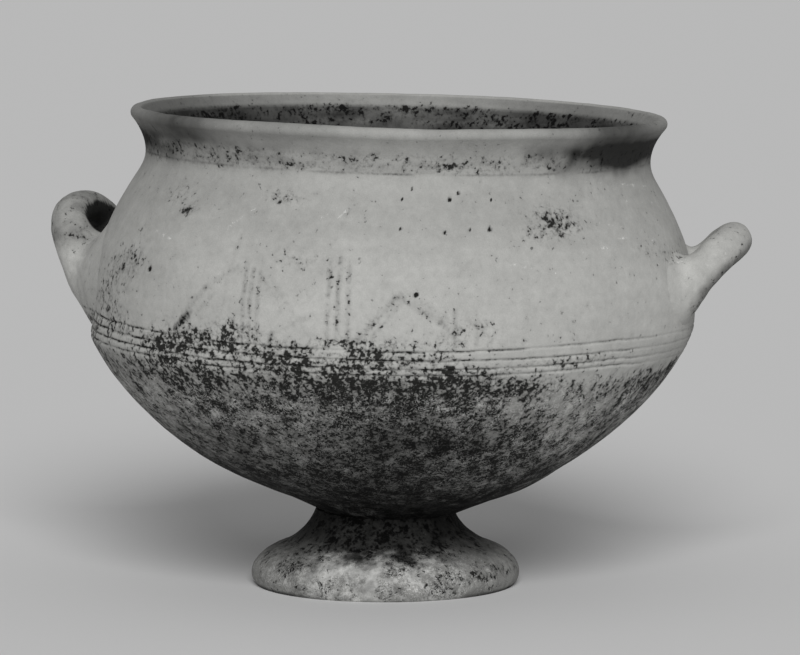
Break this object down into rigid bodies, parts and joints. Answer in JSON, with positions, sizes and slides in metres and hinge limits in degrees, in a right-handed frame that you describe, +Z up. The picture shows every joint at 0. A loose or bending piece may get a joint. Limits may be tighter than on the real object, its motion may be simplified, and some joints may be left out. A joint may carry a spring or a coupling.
{
  "type": "footed bowl",
  "caption": "Wide hand-built clay bowl on a flared hollow foot, with an everted rim, incised belly lines and a loop handle at each side.",
  "frame": {"origin": "middle of the footprint of the whole vessel, on the ground that its foot stands on", "axes": "+X towards the right handle, +Y away from the decorated front, +Z up"},
  "size_m": [0.3984, 0.3378, 0.2713],
  "materials": {
    "foot_clay": "unglazed, fire-blackened, with pale lime crust",
    "scorched_clay": "unglazed, densely mottled dark from the fire",
    "pale_clay": "unglazed, smoothed, pale with faint painted strokes",
    "speckled_clay": "unglazed, wiped, grey with dark specks",
    "handle_clay": "unglazed, finger-smoothed, pale with dark stains"
  },
  "bodies": {
    "root": {"foot": "foot_clay", "foot_luting_coil": "foot_clay", "bowl_base": "scorched_clay", "lower_wall": "scorched_clay", "shoulder_wall": "pale_clay", "neck_collar": "speckled_clay", "rim_lip": "speckled_clay", "left_handle": "handle_clay", "right_handle": "handle_clay", "left_handle_front_pad": "handle_clay", "left_handle_back_pad": "handle_clay", "right_handle_front_pad": "handle_clay", "right_handle_back_pad": "handle_clay"}
  },
  "joints": []
}
